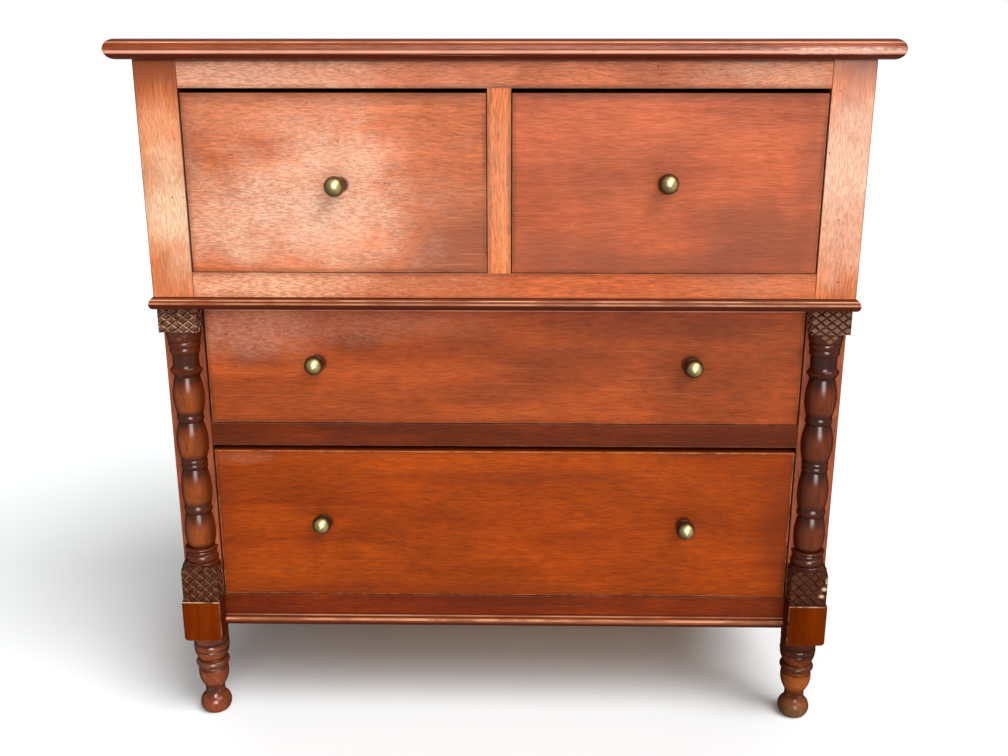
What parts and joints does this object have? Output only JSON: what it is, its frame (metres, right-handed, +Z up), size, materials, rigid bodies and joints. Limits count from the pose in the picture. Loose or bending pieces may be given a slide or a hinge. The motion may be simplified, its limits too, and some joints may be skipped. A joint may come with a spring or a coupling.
{
  "type": "chest of drawers",
  "caption": "Wooden chest of drawers with small drawers above wide ones, half-round turned columns with carved blocks at the lower corners, turned feet and round brass knobs.",
  "frame": {"origin": "on the floor under the middle of the top board", "axes": "+X to the right as seen from the front, +Y to the back, +Z up"},
  "size_m": [1.07, 0.5115, 1.065],
  "materials": {
    "case_cherry": "worn red-brown varnish",
    "drawer_front_cherry": "worn red-brown varnish",
    "turned_cherry": "glossy dark varnish",
    "drawer_pine": "bare aged softwood",
    "inner_pine": "bare aged softwood",
    "aged_brass": "dull aged brass"
  },
  "bodies": {
    "case": {"back_boards": "inner_pine", "bottom_bead": "case_cherry", "bottom_rail": "case_cherry", "bottom_rear_rail": "inner_pine", "centre_muntin": "case_cherry", "drawer_guides": "inner_pine", "drawer_stops": "inner_pine", "front_waist_moulding": "case_cherry", "left_bottom_side_rail": "case_cherry", "left_front_post": "case_cherry", "left_lower_side_panel": "case_cherry", "left_rear_post": "case_cherry", "left_split_column": "turned_cherry", "left_top_side_rail": "case_cherry", "left_upper_side_panel": "case_cherry", "left_waist_moulding": "case_cherry", "left_waist_side_rail": "case_cherry", "lower_runners": "inner_pine", "middle_blade": "case_cherry", "middle_rear_rail": "inner_pine", "right_bottom_side_rail": "case_cherry", "right_front_post": "case_cherry", "right_lower_side_panel": "case_cherry", "right_rear_post": "case_cherry", "right_split_column": "turned_cherry", "right_top_side_rail": "case_cherry", "right_upper_side_panel": "case_cherry", "right_waist_moulding": "case_cherry", "right_waist_side_rail": "case_cherry", "top_board": "case_cherry", "top_front_rail": "case_cherry", "top_kickers": "inner_pine", "top_rear_rail": "inner_pine", "upper_runners": "inner_pine", "waist_rail": "case_cherry", "waist_rear_rail": "inner_pine"},
    "upper_left_drawer": {"upper_left_drawer_back": "drawer_pine", "upper_left_drawer_bottom": "drawer_pine", "upper_left_drawer_front": "drawer_front_cherry", "upper_left_drawer_knobs": "aged_brass", "upper_left_drawer_left_side": "drawer_pine", "upper_left_drawer_right_side": "drawer_pine"},
    "upper_right_drawer": {"upper_right_drawer_back": "drawer_pine", "upper_right_drawer_bottom": "drawer_pine", "upper_right_drawer_front": "drawer_front_cherry", "upper_right_drawer_knobs": "aged_brass", "upper_right_drawer_left_side": "drawer_pine", "upper_right_drawer_right_side": "drawer_pine"},
    "middle_drawer": {"middle_drawer_back": "drawer_pine", "middle_drawer_bottom": "drawer_pine", "middle_drawer_front": "drawer_front_cherry", "middle_drawer_knobs": "aged_brass", "middle_drawer_left_side": "drawer_pine", "middle_drawer_right_side": "drawer_pine"},
    "lower_drawer": {"lower_drawer_back": "drawer_pine", "lower_drawer_bottom": "drawer_pine", "lower_drawer_front": "drawer_front_cherry", "lower_drawer_knobs": "aged_brass", "lower_drawer_left_side": "drawer_pine", "lower_drawer_right_side": "drawer_pine"}
  },
  "joints": [
    {"name": "upper_left_drawer_slide", "type": "slide", "parent": "case", "child": "upper_left_drawer", "axis": [0, -1, 0], "range_m": [0, 0.33]},
    {"name": "upper_right_drawer_slide", "type": "slide", "parent": "case", "child": "upper_right_drawer", "axis": [0, -1, 0], "range_m": [0, 0.33]},
    {"name": "middle_drawer_slide", "type": "slide", "parent": "case", "child": "middle_drawer", "axis": [0, -1, 0], "range_m": [0, 0.3]},
    {"name": "lower_drawer_slide", "type": "slide", "parent": "case", "child": "lower_drawer", "axis": [0, -1, 0], "range_m": [0, 0.3]}
  ]
}
